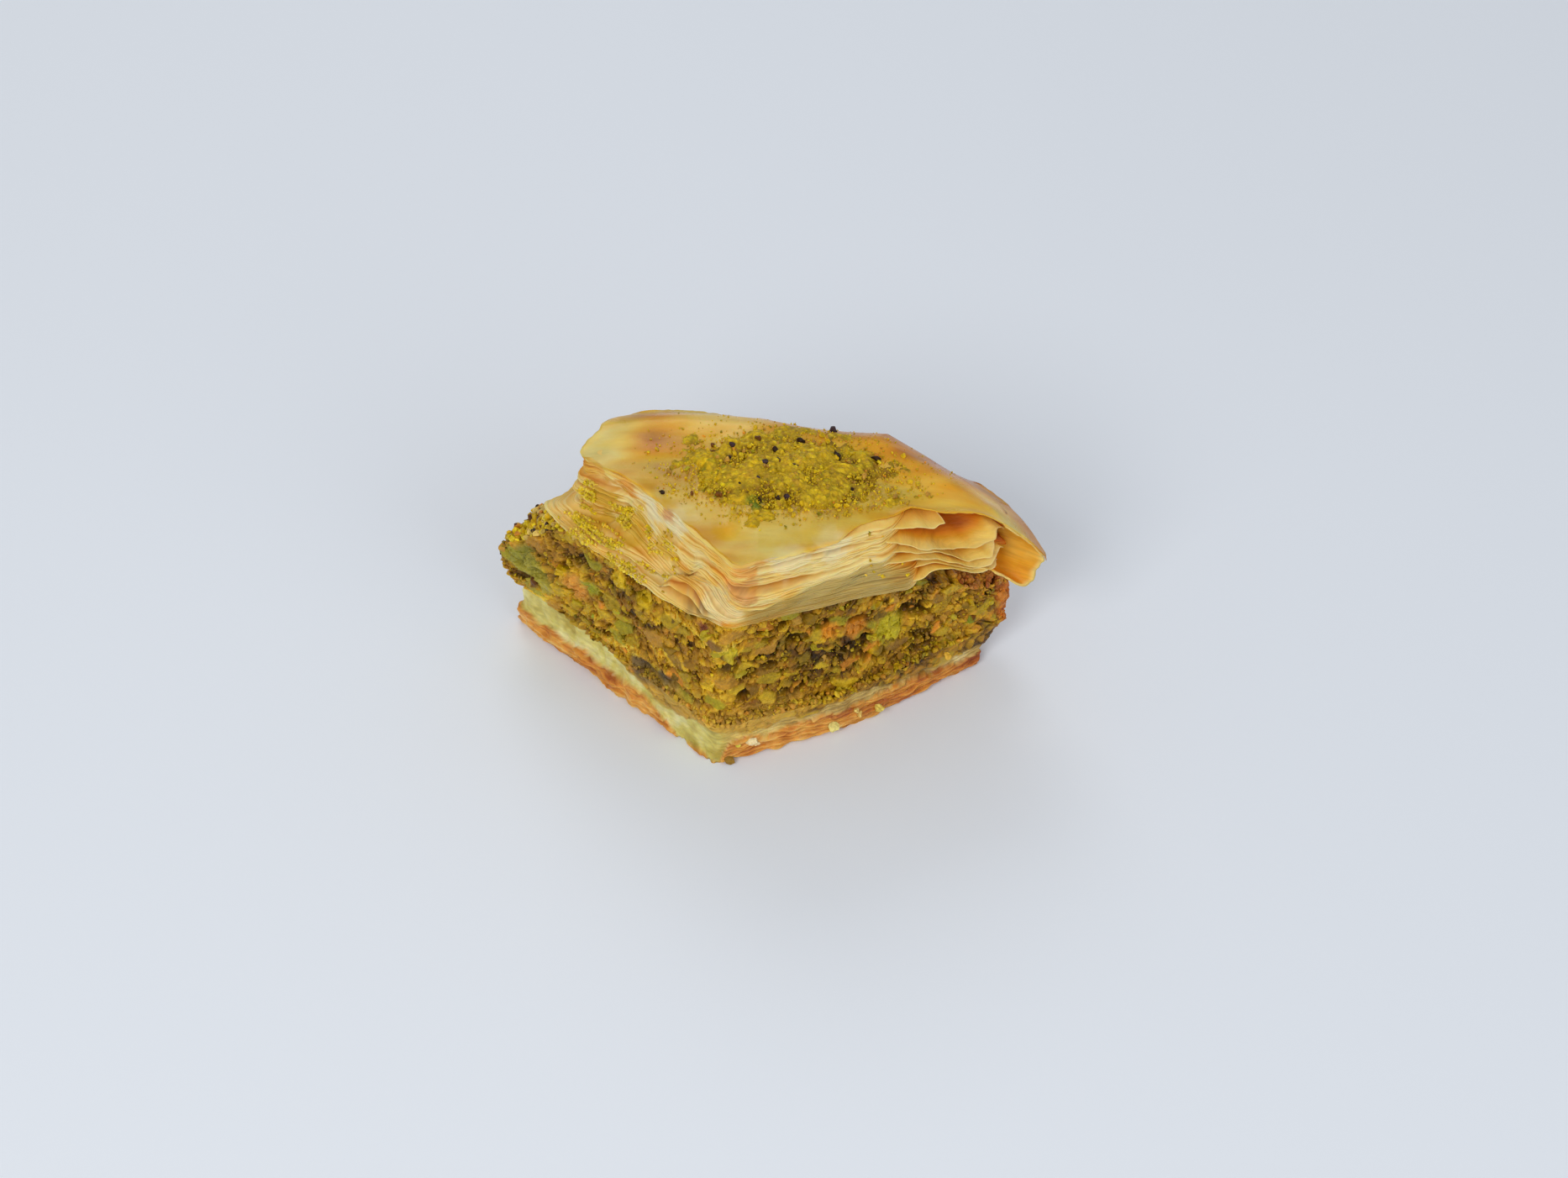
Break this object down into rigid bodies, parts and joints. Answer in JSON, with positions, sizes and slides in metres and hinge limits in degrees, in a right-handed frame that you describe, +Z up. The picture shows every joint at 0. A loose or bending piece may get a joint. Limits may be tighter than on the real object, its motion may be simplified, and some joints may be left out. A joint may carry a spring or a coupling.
{
  "type": "baklava piece",
  "caption": "Cut piece of layered pastry from the edge of a tray: soaked base, thick pistachio filling, flaky top with ground nuts.",
  "frame": {"origin": "on the underside, under the middle of the piece", "axes": "+X along the piece from its left tip to its right tip, +Y towards the side that lay against the tray's wall, +Z up"},
  "size_m": [0.0742, 0.0364, 0.038],
  "materials": {
    "bottom_pastry": "syrup-soaked pastry, browned underneath",
    "nut_filling": "moist chopped pistachio",
    "top_pastry": "thin buttered pastry sheets, glossy on top"
  },
  "bodies": {
    "root": {"bottom_phyllo": "bottom_pastry", "pistachio_filling": "nut_filling", "top_phyllo": "top_pastry"}
  },
  "joints": []
}
